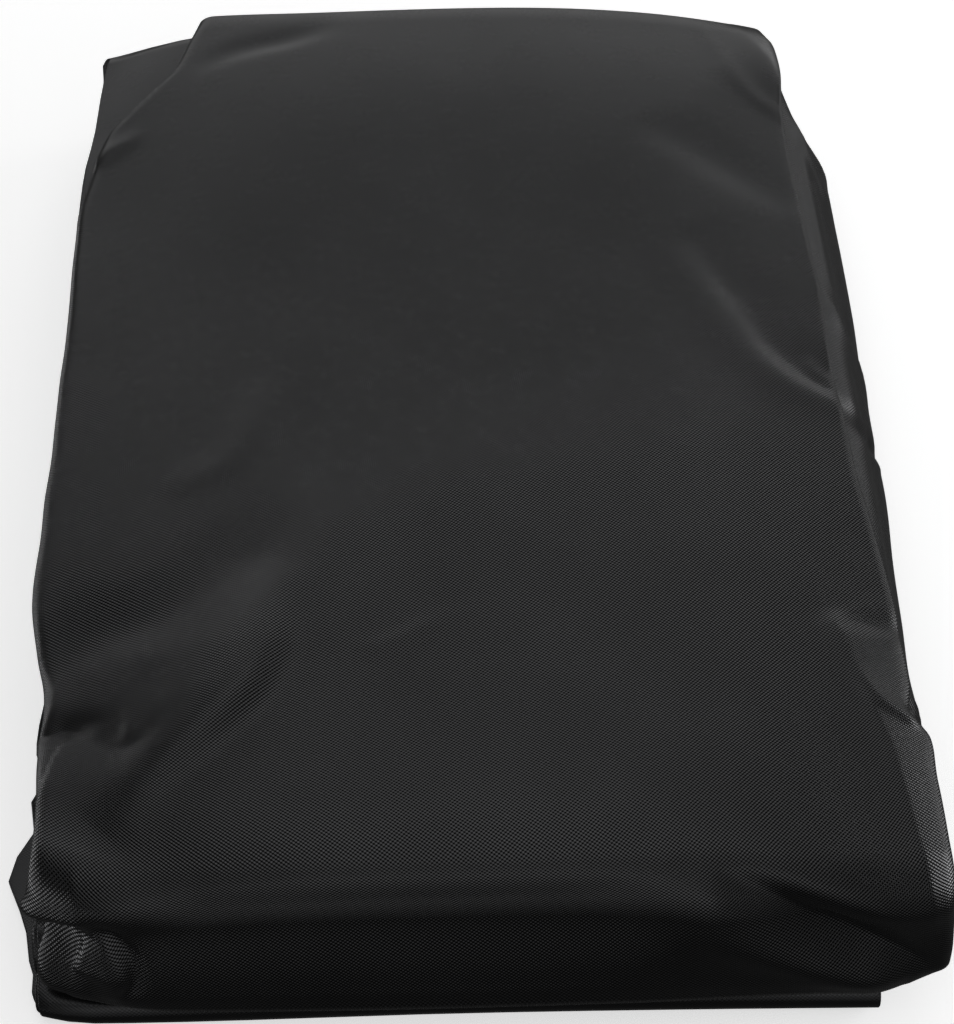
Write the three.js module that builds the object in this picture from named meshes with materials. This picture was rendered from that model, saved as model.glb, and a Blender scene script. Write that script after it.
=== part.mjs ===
import * as THREE from "three";

// A folded golf cart cover, in millimetres. It lies on z = 0, rolled end towards -y and +x to the right.
// The cloth is one length folded back and forth into eight runs, counted from the surface up.
// Run 3 turns up at the front, round runs 4 to 7, and becomes the top run. The free end of run 4 is hidden.

// Gap between neighbouring runs, before the stack settles.
const RUN_GAP = 1.2;
// Thickness of each run, lowest first, before the stack settles.
const RUN_THICKNESS = [7.4, 7.4, 9.6, 9.6, 9.6, 9.6, 9.6, 14.6];
// The order in which the cloth goes through the runs.
const RUN_ORDER = [1, 2, 3, 8, 7, 6, 5, 4];
const TOP_RUN = 8;
const ROLL_FROM_RUN = 3;

// Where the rolled front end and the back folds reach before they are bowed.
const FRONT_Y = -258;
const LOW_FRONT_Y = -256;
const BACK_Y = 264;
// Free ends of runs 1 and 4.
const FREE_END_Y = { 1: 248, 4: 238 };

// The front roll: radius inside its corners, and its thickness at its low and its high corner.
const ROLL_CORNER_RADIUS = 6;
const ROLL_LOW_THICKNESS = 9.9;
const ROLL_HIGH_THICKNESS = 13;

// How finely the surface is cut: steps round the folds, columns across, and rows along the runs.
const SMALL_FOLD_STEPS = 5;
const ROLL_CORNER_STEPS = 5;
const ROLL_WALL_STEPS = 5;
const END_STEPS = 3;
const SIDE_STEPS = 4;
const COLUMN_COUNT = 15;
const COLUMN_CROWDING = 0.35;
const LOW_ROWS = { front: -222, back: 230, count: 10, crowding: 1.1 };
const TOP_ROWS = { front: -225, back: 238, count: 24, crowding: 1.2 };

// Left and right side edge of each lower run, at these distances from front to back.
const EDGE_ROWS_Y = [-250, -150, 0, 185, 255];
const RUN_EDGES = {
  1: { left: [-172, -172, -172, -169, -164], right: [151, 164, 168, 168, 160] },
  2: { left: [-173, -174, -174, -171, -168], right: [151, 176, 181, 178, 163] },
  3: { left: [-167, -172, -176, -173, -169], right: [162, 181, 185, 183, 166] },
  4: { left: [-163, -171, -173, -172, -170], right: [166, 180, 186, 184, 167] },
  5: { left: [-164, -172, -175, -172, -168], right: [167, 178, 183, 181, 166] },
  6: { left: [-165, -172, -173, -173, -170], right: [168, 175, 178, 176, 166] },
  7: { left: [-166, -171, -175, -171, -171], right: [170, 173, 173, 171, 164] },
};

// Side edges of the front roll, from its low edge (0) to where the top run starts (1).
const ROLL_EDGES = [
  { share: 0, left: -167, right: 162 },
  { share: 0.3, left: -171, right: 172 },
  { share: 0.6, left: -171, right: 171 },
  { share: 1, left: -168, right: 172.5 },
];

// Side edges of the top run, front to back.
const TOP_EDGES = [
  { y: -237, left: -168, right: 172.5 },
  { y: -222, left: -171, right: 172.5 },
  { y: -206, left: -167, right: 173.5 },
  { y: -178, left: -171, right: 175 },
  { y: -152, left: -170, right: 168 },
  { y: -126, left: -168, right: 169.5 },
  { y: -94, left: -174, right: 169 },
  { y: -55, left: -175, right: 165 },
  { y: 5, left: -175, right: 162.5 },
  { y: 95, left: -175, right: 165.5 },
  { y: 140, left: -175, right: 165.5 },
  { y: 190, left: -164, right: 163.5 },
  { y: 236, left: -151, right: 161.5 },
  { y: 262, left: -128, right: 157 },
];

// The corner of the bottom run that lies out past its left side.
const CORNER_TAB = { back: -184, tip: -188, front: -243, reach: 16 };

// Height of the settled top over the packet, front to back (rows) and left to right (columns).
const TOP_HEIGHT_X = [-175, -95, 0, 95, 175];
const TOP_HEIGHT = [
  { y: -240, heights: [60, 77, 81, 79, 65] },
  { y: -150, heights: [63, 82, 85, 83, 67] },
  { y: 0, heights: [69, 83, 87, 84, 69] },
  { y: 150, heights: [70, 84, 87, 85, 71] },
  { y: 260, heights: [75, 84, 87, 84, 74] },
];

// Bows of the front and back ends, seen from above.
const ROLL_FRONT_LINE = [
  { x: -174, y: -243 },
  { x: -150, y: -250 },
  { x: -126, y: -255 },
  { x: -60, y: -258 },
  { x: 60, y: -259 },
  { x: 140, y: -258 },
  { x: 175, y: -252 },
];
const LOW_FRONT_LINE = [
  { x: -175, y: -247 },
  { x: -150, y: -252.5 },
  { x: 0, y: -254.5 },
  { x: 151, y: -258 },
];
const BACK_LINE = [
  { x: -175, y: 261 },
  { x: -145, y: 265 },
  { x: -60, y: 264 },
  { x: 40, y: 263 },
  { x: 110, y: 260 },
  { x: 160, y: 256 },
];
// Each bow fades out towards the middle of the packet between these two distances from its end.
const BOW_FADE = { full: 30, none: 120 };

// The upper part of the front roll leans back between these heights, most at its left corner.
const ROLL_LEAN_HEIGHTS = { from: 24, to: 80 };
const ROLL_LEAN = [
  { x: -174, reach: 22 },
  { x: -130, reach: 11 },
  { x: -60, reach: 8 },
  { x: 175, reach: 8 },
];

// Ridges (rise above 0) and troughs (below 0) pressed into the top of the cloth.
const CREASES = [
  { name: "left long trough", x1: -150, y1: -92, x2: -72, y2: -30, rise: -5, width: 15 },
  { name: "left long ridge", x1: -164, y1: -122, x2: -98, y2: -88, rise: 3, width: 14 },
  { name: "left hump", x1: -114, y1: -138, x2: -100, y2: -120, rise: 5, width: 24 },
  { name: "hump side trough", x1: -96, y1: -169, x2: -68, y2: -116, rise: -5, width: 13 },
  { name: "hump front trough", x1: -146, y1: -205, x2: -100, y2: -172, rise: -5, width: 13 },
  { name: "pinch", x1: -172, y1: -158, x2: -140, y2: -160, rise: -5, width: 11 },
  { name: "right ridge, back", x1: 107, y1: 93, x2: 126, y2: 40, rise: 5, width: 14 },
  { name: "right ridge, front", x1: 126, y1: 40, x2: 160, y2: 4, rise: 5, width: 14 },
  { name: "right trough", x1: 134, y1: 82, x2: 162, y2: 36, rise: -4, width: 13 },
  { name: "right front ridge", x1: 146, y1: -129, x2: 160, y2: -205, rise: 4, width: 13 },
];

// Middle of the packet's box in the places above. It is moved to the origin.
const BOX_MIDDLE = { x: -0.5, y: 3 };

function mix(a, b, share) {
  return a + (b - a) * share;
}

function smoothStep(from, to, value) {
  const share = Math.min(1, Math.max(0, (value - from) / (to - from)));
  return share * share * (3 - 2 * share);
}

// A smooth line through the rows of a table: where one column is at, the value of the other.
function through(rows, at, column, value) {
  const last = rows.length - 1;
  if (value <= rows[0][at]) {
    return rows[0][column];
  }
  if (value >= rows[last][at]) {
    return rows[last][column];
  }
  const i = rows.findIndex((row, k) => k < last && value < rows[k + 1][at]);
  const span = rows[i + 1][at] - rows[i][at];
  const slopeAt = (k) => {
    const low = Math.max(0, k - 1);
    const high = Math.min(last, k + 1);
    return (rows[high][column] - rows[low][column]) / (rows[high][at] - rows[low][at]);
  };
  const t = (value - rows[i][at]) / span;
  const start = rows[i][column];
  const end = rows[i + 1][column];
  const startPull = slopeAt(i) * span;
  const endPull = slopeAt(i + 1) * span;
  return (
    start * (1 + 2 * t) * (1 - t) ** 2 +
    startPull * t * (1 - t) ** 2 +
    end * t * t * (3 - 2 * t) +
    endPull * t * t * (t - 1)
  );
}

function runBottom(run) {
  return RUN_THICKNESS.slice(0, run - 1).reduce((sum, thickness) => sum + thickness + RUN_GAP, 0);
}

function runTop(run) {
  return runBottom(run) + RUN_THICKNESS[run - 1];
}

const STACK_HEIGHT = runTop(TOP_RUN);

// A station is one cut across the cloth: the side-view points (y, z) of its two faces, and how far it has
// gone from one run to the next. The plus face stays on its side of the cloth along the whole length.
function station(plus, minus, from, to, share) {
  return { plus, minus, from, to, share };
}

// Odd runs are travelled towards the front with their plus face on top, even runs towards the back.
function runsToFront(run) {
  return run % 2 === 1;
}

function runStation(run, y) {
  const low = [y, runBottom(run)];
  const high = [y, runTop(run)];
  return runsToFront(run) ? station(high, low, run, run, 0) : station(low, high, run, run, 0);
}

// Distances along a run, closer together at the front. The bottom run has extra ones at its corner tab.
function rowsOf(run) {
  const rows = run === TOP_RUN ? TOP_ROWS : LOW_ROWS;
  const spread = Array.from({ length: rows.count }, (_, k) => (k / (rows.count - 1)) ** rows.crowding);
  const places = spread.map((share) => mix(rows.front, rows.back, share));
  if (run === 1) {
    places.push(CORNER_TAB.front, CORNER_TAB.tip, CORNER_TAB.back);
  }
  return places.sort((a, b) => a - b);
}

function flatRun(run) {
  const rows = rowsOf(run);
  const ordered = runsToFront(run) ? rows.reverse() : rows;
  return ordered.map((y) => runStation(run, y));
}

// Which face of the cloth is on the inside of the fold from one run to the next.
function plusIsInside(from, to) {
  return runsToFront(from) === to > from;
}

function foldStation(inside, outside, from, to, share) {
  return plusIsInside(from, to)
    ? station(inside, outside, from, to, share)
    : station(outside, inside, from, to, share);
}

// A half turn from one run to its neighbour, round a centre in the gap between them.
function smallFold(from, to, endY) {
  const side = endY < 0 ? -1 : 1;
  const upper = Math.max(from, to);
  const centreZ = runBottom(upper) - RUN_GAP / 2;
  const inner = RUN_GAP / 2;
  const widest = inner + Math.max(RUN_THICKNESS[from - 1], RUN_THICKNESS[to - 1]);
  const centreY = endY - side * widest;
  const turn = to > from ? 1 : -1;
  const stations = [];
  for (let k = 0; k <= SMALL_FOLD_STEPS; k += 1) {
    const share = k / SMALL_FOLD_STEPS;
    const angle = turn * Math.PI * (share - 0.5);
    const thickness = mix(RUN_THICKNESS[from - 1], RUN_THICKNESS[to - 1], share);
    const aim = [side * Math.cos(angle), Math.sin(angle)];
    const inside = [centreY + inner * aim[0], centreZ + inner * aim[1]];
    const outside = [centreY + (inner + thickness) * aim[0], centreZ + (inner + thickness) * aim[1]];
    stations.push(foldStation(inside, outside, from, to, share));
  }
  return stations;
}

// The front roll: a low corner, a wall and a high corner, round the folds of the runs between.
function frontRoll(from, to) {
  const lowCentre = [FRONT_Y + ROLL_LOW_THICKNESS + ROLL_CORNER_RADIUS, runTop(from) + ROLL_CORNER_RADIUS];
  const highCentre = [FRONT_Y + ROLL_HIGH_THICKNESS + ROLL_CORNER_RADIUS, runBottom(to) - ROLL_CORNER_RADIUS];
  const count = 2 * ROLL_CORNER_STEPS + ROLL_WALL_STEPS;
  const stations = [];
  const add = (centre, angle, thickness) => {
    const aim = [-Math.cos(angle), Math.sin(angle)];
    const outer = ROLL_CORNER_RADIUS + thickness;
    const inside = [centre[0] + ROLL_CORNER_RADIUS * aim[0], centre[1] + ROLL_CORNER_RADIUS * aim[1]];
    const outside = [centre[0] + outer * aim[0], centre[1] + outer * aim[1]];
    stations.push(foldStation(inside, outside, from, to, stations.length / count));
  };
  for (let k = 0; k <= ROLL_CORNER_STEPS; k += 1) {
    const share = k / ROLL_CORNER_STEPS;
    add(lowCentre, (share - 1) * (Math.PI / 2), mix(RUN_THICKNESS[from - 1], ROLL_LOW_THICKNESS, share));
  }
  for (let k = 1; k < ROLL_WALL_STEPS; k += 1) {
    const share = k / ROLL_WALL_STEPS;
    const centre = [mix(lowCentre[0], highCentre[0], share), mix(lowCentre[1], highCentre[1], share)];
    add(centre, 0, mix(ROLL_LOW_THICKNESS, ROLL_HIGH_THICKNESS, share));
  }
  for (let k = 0; k <= ROLL_CORNER_STEPS; k += 1) {
    const share = k / ROLL_CORNER_STEPS;
    add(highCentre, share * (Math.PI / 2), mix(ROLL_HIGH_THICKNESS, RUN_THICKNESS[to - 1], share));
  }
  return stations;
}

// A free end: the cloth rounds off from its full thickness.
function freeEnd(run, starts) {
  const middle = (runBottom(run) + runTop(run)) / 2;
  const half = RUN_THICKNESS[run - 1] / 2;
  const stations = [];
  for (let k = 0; k < END_STEPS; k += 1) {
    const angle = (k / END_STEPS) * (Math.PI / 2);
    const y = FREE_END_Y[run] - half + half * Math.sin(angle);
    const high = [y, middle + half * Math.cos(angle)];
    const low = [y, middle - half * Math.cos(angle)];
    const pair = runsToFront(run) ? [high, low] : [low, high];
    stations.push(station(pair[0], pair[1], run, run, 0));
  }
  return starts ? stations.reverse() : stations;
}

// Front ends of the small folds inside the roll stay clear of the roll's wall.
function foldEndY(from, to) {
  const low = Math.min(from, to);
  if (!runsToFront(from)) {
    return BACK_Y;
  }
  if (low < ROLL_FROM_RUN) {
    return LOW_FRONT_Y;
  }
  const wallShare = (runTop(low) - runTop(ROLL_FROM_RUN)) / (runBottom(TOP_RUN) - runTop(ROLL_FROM_RUN));
  return FRONT_Y + mix(ROLL_LOW_THICKNESS, ROLL_HIGH_THICKNESS, wallShare) + RUN_GAP;
}

function clothPath() {
  const path = [...freeEnd(RUN_ORDER[0], true)];
  RUN_ORDER.forEach((run, i) => {
    path.push(...flatRun(run));
    const next = RUN_ORDER[i + 1];
    if (next === undefined) {
      path.push(...freeEnd(run, false));
    } else if (run === ROLL_FROM_RUN) {
      path.push(...frontRoll(run, next));
    } else {
      path.push(...smallFold(run, next, foldEndY(run, next)));
    }
  });
  return path;
}

function tabReach(y) {
  if (y > CORNER_TAB.back || y < CORNER_TAB.front) {
    return 0;
  }
  if (y > CORNER_TAB.tip) {
    return CORNER_TAB.reach * ((CORNER_TAB.back - y) / (CORNER_TAB.back - CORNER_TAB.tip));
  }
  return CORNER_TAB.reach * ((y - CORNER_TAB.front) / (CORNER_TAB.tip - CORNER_TAB.front));
}

function runEdge(run, side, y) {
  if (run === TOP_RUN) {
    return through(TOP_EDGES, "y", side, y);
  }
  const rows = EDGE_ROWS_Y.map((rowY, k) => ({ y: rowY, edge: RUN_EDGES[run][side][k] }));
  const edge = through(rows, "y", "edge", y);
  return run === 1 && side === "left" ? edge - tabReach(y) : edge;
}

function edgeAt(cut, side) {
  const y = (cut.plus[0] + cut.minus[0]) / 2;
  if (cut.from === ROLL_FROM_RUN && cut.to === TOP_RUN) {
    return through(ROLL_EDGES, "share", side, cut.share);
  }
  return mix(runEdge(cut.from, side, y), runEdge(cut.to, side, y), cut.share);
}

function topHeight(x, y) {
  const across = TOP_HEIGHT.map((row) => {
    const columns = TOP_HEIGHT_X.map((columnX, k) => ({ x: columnX, height: row.heights[k] }));
    return { y: row.y, height: through(columns, "x", "height", x) };
  });
  return through(across, "y", "height", y);
}

function creaseRise(x, y) {
  return CREASES.reduce((sum, crease) => {
    const dx = crease.x2 - crease.x1;
    const dy = crease.y2 - crease.y1;
    const along = ((x - crease.x1) * dx + (y - crease.y1) * dy) / (dx * dx + dy * dy);
    const t = Math.min(1, Math.max(0, along));
    const away = Math.hypot(x - crease.x1 - t * dx, y - crease.y1 - t * dy);
    return sum + crease.rise * Math.exp(-((away / crease.width) ** 2));
  }, 0);
}

// From the squared-up stack to the settled packet.
function settle(x, y, level) {
  const frontHold = 1 - smoothStep(FRONT_Y + BOW_FADE.full, FRONT_Y + BOW_FADE.none, y);
  const backHold = smoothStep(BACK_Y - BOW_FADE.none, BACK_Y - BOW_FADE.full, y);
  const rollBow = through(ROLL_FRONT_LINE, "x", "y", x) - FRONT_Y;
  const lowBow = through(LOW_FRONT_LINE, "x", "y", x) - LOW_FRONT_Y;
  const backBow = through(BACK_LINE, "x", "y", x) - BACK_Y;
  const endBow = level < runBottom(ROLL_FROM_RUN) - RUN_GAP / 2 ? lowBow : rollBow;
  const leanShare = smoothStep(ROLL_LEAN_HEIGHTS.from, ROLL_LEAN_HEIGHTS.to, level);
  const lean = leanShare * through(ROLL_LEAN, "x", "reach", x);
  const settledY = y + frontHold * (endBow + lean) + backHold * backBow;
  const topShare = (level - runBottom(TOP_RUN)) / RUN_THICKNESS[TOP_RUN - 1];
  const crease = topShare > 0 ? topShare * creaseRise(x, settledY) : 0;
  const settledZ = (level / STACK_HEIGHT) * topHeight(x, settledY) + crease;
  return [x - BOX_MIDDLE.x, settledY - BOX_MIDDLE.y, settledZ];
}

// Places across the cloth from its left edge (0) to its right edge (1), closer together near the edges.
function columns() {
  const even = Array.from({ length: COLUMN_COUNT }, (_, k) => k / (COLUMN_COUNT - 1));
  const turn = 2 * Math.PI;
  return even.map((share) => share - (COLUMN_CROWDING * Math.sin(turn * share)) / turn);
}

// The ring of points round one cut: along the plus face, round the right edge, back along the minus face.
function ringAt(cut) {
  const left = edgeAt(cut, "left");
  const right = edgeAt(cut, "right");
  const middle = [(cut.plus[0] + cut.minus[0]) / 2, (cut.plus[1] + cut.minus[1]) / 2];
  const half = [(cut.plus[0] - cut.minus[0]) / 2, (cut.plus[1] - cut.minus[1]) / 2];
  const round = Math.hypot(half[0], half[1]);
  const ring = [];
  const add = (x, lift) => ring.push(settle(x, middle[0] + lift * half[0], middle[1] + lift * half[1]));
  const inner = (share) => mix(left + round, right - round, share);
  columns().forEach((share) => add(inner(share), 1));
  for (let k = 1; k < SIDE_STEPS; k += 1) {
    const angle = (k / SIDE_STEPS) * Math.PI;
    add(right - round + round * Math.sin(angle), Math.cos(angle));
  }
  columns()
    .reverse()
    .forEach((share) => add(inner(share), -1));
  for (let k = 1; k < SIDE_STEPS; k += 1) {
    const angle = (k / SIDE_STEPS) * Math.PI;
    add(left + round - round * Math.sin(angle), -Math.cos(angle));
  }
  return ring;
}

// Closes an end of the cloth: each point of the plus face is joined to the point of the minus face under it.
function endFaces(start, count, isFirst) {
  const firstPoint = -SIDE_STEPS / 2;
  const lastPoint = COLUMN_COUNT - 1 + SIDE_STEPS / 2;
  const onRing = (k) => start + ((k + count) % count);
  const under = (k) => onRing(2 * COLUMN_COUNT + SIDE_STEPS - 2 - k);
  const faces = [];
  const add = (a, b, c) => {
    if (a !== b && b !== c && a !== c) {
      faces.push(isFirst ? [a, b, c] : [a, c, b]);
    }
  };
  for (let k = firstPoint; k < lastPoint; k += 1) {
    add(onRing(k), onRing(k + 1), under(k + 1));
    add(onRing(k), under(k + 1), under(k));
  }
  return faces;
}

function clothGeometry() {
  const rings = clothPath().map(ringAt);
  const count = rings[0].length;
  const faces = [];
  for (let r = 0; r + 1 < rings.length; r += 1) {
    for (let k = 0; k < count; k += 1) {
      const here = r * count;
      const next = (k + 1) % count;
      faces.push([here + k, here + count + k, here + count + next]);
      faces.push([here + k, here + count + next, here + next]);
    }
  }
  faces.push(...endFaces(0, count, true));
  faces.push(...endFaces((rings.length - 1) * count, count, false));
  const geometry = new THREE.BufferGeometry();
  geometry.setAttribute("position", new THREE.Float32BufferAttribute(rings.flat(2), 3));
  geometry.setIndex(faces.flat());
  geometry.computeVertexNormals();
  return geometry;
}

const COATED_CLOTH = { color: 0x17181a, roughness: 0.8, metalness: 0 };

const cloth = new THREE.Mesh(clothGeometry(), new THREE.MeshStandardMaterial(COATED_CLOTH));
cloth.name = "folded_cover";

const group = new THREE.Group();
group.name = "golf_cart_cover";
group.add(cloth);

export default group;
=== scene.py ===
import math

import bpy
import numpy as np
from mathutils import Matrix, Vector


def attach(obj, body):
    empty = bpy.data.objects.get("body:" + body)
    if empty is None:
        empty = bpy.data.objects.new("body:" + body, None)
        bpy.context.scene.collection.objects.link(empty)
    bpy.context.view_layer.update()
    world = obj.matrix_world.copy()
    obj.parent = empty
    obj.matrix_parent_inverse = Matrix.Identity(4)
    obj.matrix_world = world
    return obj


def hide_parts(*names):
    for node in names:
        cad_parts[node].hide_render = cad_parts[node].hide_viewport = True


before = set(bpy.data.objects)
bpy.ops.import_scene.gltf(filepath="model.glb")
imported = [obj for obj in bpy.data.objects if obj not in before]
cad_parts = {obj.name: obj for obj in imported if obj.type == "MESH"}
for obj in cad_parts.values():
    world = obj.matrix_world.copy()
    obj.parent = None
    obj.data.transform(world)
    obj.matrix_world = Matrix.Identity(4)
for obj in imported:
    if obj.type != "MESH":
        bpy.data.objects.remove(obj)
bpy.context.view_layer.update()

# A folded golf cart cover on a plain surface. Sizes are in millimetres until a mesh is made, in the packed
# part's own frame: the surface is z = 0, the rolled end faces -y, and +x is to the right.

MILLIMETRE = 0.001
NODE = "folded_cover"

# The eight runs of cloth, counted from the surface up, as the solid has them.
RUN_GAP = 1.2
RUN_THICKNESS = (7.4, 7.4, 9.6, 9.6, 9.6, 9.6, 9.6, 14.6)
RUN_ORDER = (1, 2, 3, 8, 7, 6, 5, 4)
TOP_RUN = 8
ROLL_FROM_RUN = 3
FRONT_Y = -258.0
LOW_FRONT_Y = -256.0
BACK_Y = 264.0
FREE_END_Y = {1: 248.0, 4: 238.0}
ROLL_CORNER_RADIUS = 6.0
ROLL_LOW_THICKNESS = 9.9
ROLL_HIGH_THICKNESS = 13.0

# Side edges of the lower runs, at these distances from front to back.
EDGE_ROWS_Y = (-250, -150, 0, 185, 255)
RUN_EDGES = {
    1: {"left": (-172, -172, -172, -169, -164), "right": (151, 164, 168, 168, 160)},
    2: {"left": (-173, -174, -174, -171, -168), "right": (151, 176, 181, 178, 163)},
    3: {"left": (-167, -172, -176, -173, -169), "right": (162, 181, 185, 183, 166)},
    4: {"left": (-163, -171, -173, -172, -170), "right": (166, 180, 186, 184, 167)},
    5: {"left": (-164, -172, -175, -172, -168), "right": (167, 178, 183, 181, 166)},
    6: {"left": (-165, -172, -173, -173, -170), "right": (168, 175, 178, 176, 166)},
    7: {"left": (-166, -171, -175, -171, -171), "right": (170, 173, 173, 171, 164)},
}

# Side edges of the front roll, from its low edge (0) to where the top run starts (1).
ROLL_EDGES = {
    "share": (0, 0.3, 0.6, 1),
    "left": (-167, -171, -171, -168),
    "right": (162, 172, 171, 172.5),
}

# Side edges of the top run under the top cloth, front to back.
TOP_EDGES = {
    "y": (-237, -222, -206, -178, -152, -126, -94, -55, 5, 95, 140, 190, 236, 262),
    "left": (-168, -171, -167, -171, -170, -168, -174, -175, -175, -175, -175, -172, -169, -164),
    "right": (172.5, 172.5, 173.5, 175, 168, 169.5, 169, 165, 162.5, 163, 163, 163.5, 161.5, 157),
}

# The corner of the bottom run that lies out past its left side.
CORNER_TAB = {"y": (-243, -232, -221, -201, -187, -181, -150), "out": (0, 4, 5.5, 12, 18, 10, 0)}

# Height of the settled top, front to back (rows) and left to right (columns).
TOP_HEIGHT_X = (-175, -95, 0, 95, 175)
TOP_HEIGHT_Y = (-240, -150, 0, 150, 260)
TOP_HEIGHT = (
    (60, 77, 81, 79, 65),
    (63, 82, 85, 83, 67),
    (69, 83, 87, 84, 69),
    (70, 84, 87, 85, 71),
    (75, 84, 87, 84, 74),
)

# Bows of the front and back ends, seen from above, and where they fade out.
ROLL_FRONT_LINE = {
    "x": (-174, -150, -126, -60, 60, 140, 175),
    "y": (-243, -250, -255, -258, -259, -258, -252),
}
LOW_FRONT_LINE = {"x": (-175, -150, 0, 151), "y": (-247, -252.5, -254.5, -258)}
BACK_LINE = {"x": (-175, -145, -60, 40, 110, 160), "y": (261, 265, 264, 263, 260, 256)}
BOW_FADE = {"full": 30, "none": 120}

# The upper part of the front roll leans back, most at its left corner.
ROLL_LEAN_HEIGHTS = {"from": 24, "to": 80}
ROLL_LEAN = {"x": (-174, -130, -60, 175), "reach": (22, 11, 8, 8)}

BOX_MIDDLE = {"x": -0.5, "y": 3.0}


def mix(a, b, share):
    return a + (b - a) * share


def smooth_step(low, high, value):
    share = np.clip((value - low) / (high - low), 0, 1)
    return share * share * (3 - 2 * share)


def through(places, values, at):
    """A smooth line through a table's rows: its value at each place asked for.

    A row's value is one number, or one for each place asked for.
    """
    places = np.asarray(places, float)
    values = np.asarray(values, float)
    at = np.clip(np.asarray(at, float), places[0], places[-1])
    last = len(places) - 1
    low = np.maximum(np.arange(last + 1) - 1, 0)
    high = np.minimum(np.arange(last + 1) + 1, last)
    steps = places[high] - places[low]
    slopes = (values[high] - values[low]) / steps.reshape((-1,) + (1,) * (values.ndim - 1))
    row = np.clip(np.searchsorted(places, at, side="right") - 1, 0, last - 1)

    def pick(table, index):
        if table.ndim == 1:
            return table[index]
        return np.take_along_axis(table, index[None], 0)[0]

    span = places[row + 1] - places[row]
    t = (at - places[row]) / span
    start = pick(values, row) * (1 + 2 * t) * (1 - t) ** 2
    end = pick(values, row + 1) * t * t * (3 - 2 * t)
    pulls = pick(slopes, row) * t * (1 - t) ** 2 + pick(slopes, row + 1) * t * t * (t - 1)
    return start + end + pulls * span


def run_bottom(run):
    return sum(RUN_THICKNESS[: run - 1]) + RUN_GAP * (run - 1)


def run_top(run):
    return run_bottom(run) + RUN_THICKNESS[run - 1]


STACK_HEIGHT = run_top(TOP_RUN)


def runs_to_front(run):
    return run % 2 == 1


# A station is one cut through the cloth, seen from the side. Its columns are the place (y, level) of each of
# its two faces, the runs that it lies between, and how far it is from the first of them to the second.
PLUS_FACE = slice(0, 2)
MINUS_FACE = slice(2, 4)
FROM_RUN = 4
TO_RUN = 5
RUN_SHARE = 6


def station(plus, minus, start, end, share):
    return (*plus, *minus, start, end, share)


def middle_y(cuts):
    return (cuts[..., PLUS_FACE][..., 0] + cuts[..., MINUS_FACE][..., 0]) / 2


def thickness_there(cuts):
    return np.linalg.norm(cuts[:, PLUS_FACE] - cuts[:, MINUS_FACE], axis=1)


def place_in_cloth(cuts, deep):
    """The places (y, level) this deep in from the minus face of each cut: one row of depths for each."""
    inward = (cuts[:, PLUS_FACE] - cuts[:, MINUS_FACE]) / thickness_there(cuts)[:, None]
    return (cuts[:, MINUS_FACE][:, k, None] + deep * inward[:, k, None] for k in (0, 1))


def run_station(run, y):
    low = (y, run_bottom(run))
    high = (y, run_top(run))
    plus, minus = (high, low) if runs_to_front(run) else (low, high)
    return station(plus, minus, run, run, 0.0)


def fold_station(inside, outside, start, end, share):
    if runs_to_front(start) == (end > start):
        return station(inside, outside, start, end, share)
    return station(outside, inside, start, end, share)


def round_point(centre, radius, aim):
    return (centre[0] + radius * aim[0], centre[1] + radius * aim[1])


def flat_run(run, front, back, step):
    count = max(2, round((back - front) / step) + 1)
    rows = np.linspace(front, back, count)
    if runs_to_front(run):
        rows = rows[::-1]
    return [run_station(run, y) for y in rows]


def small_fold(start, end, end_y, steps):
    side = -1 if end_y < 0 else 1
    inner = RUN_GAP / 2
    first = RUN_THICKNESS[start - 1]
    last = RUN_THICKNESS[end - 1]
    centre = (end_y - side * (inner + max(first, last)), run_bottom(max(start, end)) - inner)
    turn = 1 if end > start else -1
    stations = []
    for share in np.linspace(0, 1, steps + 1):
        angle = turn * math.pi * (share - 0.5)
        aim = (side * math.cos(angle), math.sin(angle))
        inside = round_point(centre, inner, aim)
        outside = round_point(centre, inner + mix(first, last, share), aim)
        stations.append(fold_station(inside, outside, start, end, share))
    return stations


def front_roll(start, end, corner, wall):
    """The roll round the front: its low corner, its wall and its high corner, in this many steps each."""
    radius = ROLL_CORNER_RADIUS
    low = (FRONT_Y + ROLL_LOW_THICKNESS + radius, run_top(start) + radius)
    high = (FRONT_Y + ROLL_HIGH_THICKNESS + radius, run_bottom(end) - radius)
    cuts = []
    for share in np.linspace(0, 1, corner + 1):
        thickness = mix(RUN_THICKNESS[start - 1], ROLL_LOW_THICKNESS, share)
        cuts.append((low, (share - 1) * math.pi / 2, thickness))
    for share in np.linspace(0, 1, wall + 1)[1:-1]:
        centre = (mix(low[0], high[0], share), mix(low[1], high[1], share))
        cuts.append((centre, 0.0, mix(ROLL_LOW_THICKNESS, ROLL_HIGH_THICKNESS, share)))
    for share in np.linspace(0, 1, corner + 1):
        thickness = mix(ROLL_HIGH_THICKNESS, RUN_THICKNESS[end - 1], share)
        cuts.append((high, share * math.pi / 2, thickness))
    stations = []
    for k, (centre, angle, thickness) in enumerate(cuts):
        aim = (-math.cos(angle), math.sin(angle))
        inside = round_point(centre, radius, aim)
        outside = round_point(centre, radius + thickness, aim)
        stations.append(fold_station(inside, outside, start, end, k / (len(cuts) - 1)))
    return stations


def fold_end_y(start, end):
    low = min(start, end)
    if not runs_to_front(start):
        return BACK_Y
    if low < ROLL_FROM_RUN:
        return LOW_FRONT_Y
    share = (run_top(low) - run_top(ROLL_FROM_RUN)) / (run_bottom(TOP_RUN) - run_top(ROLL_FROM_RUN))
    return FRONT_Y + mix(ROLL_LOW_THICKNESS, ROLL_HIGH_THICKNESS, share) + RUN_GAP


def tab_reach(y):
    return np.interp(y, CORNER_TAB["y"], CORNER_TAB["out"])


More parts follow.
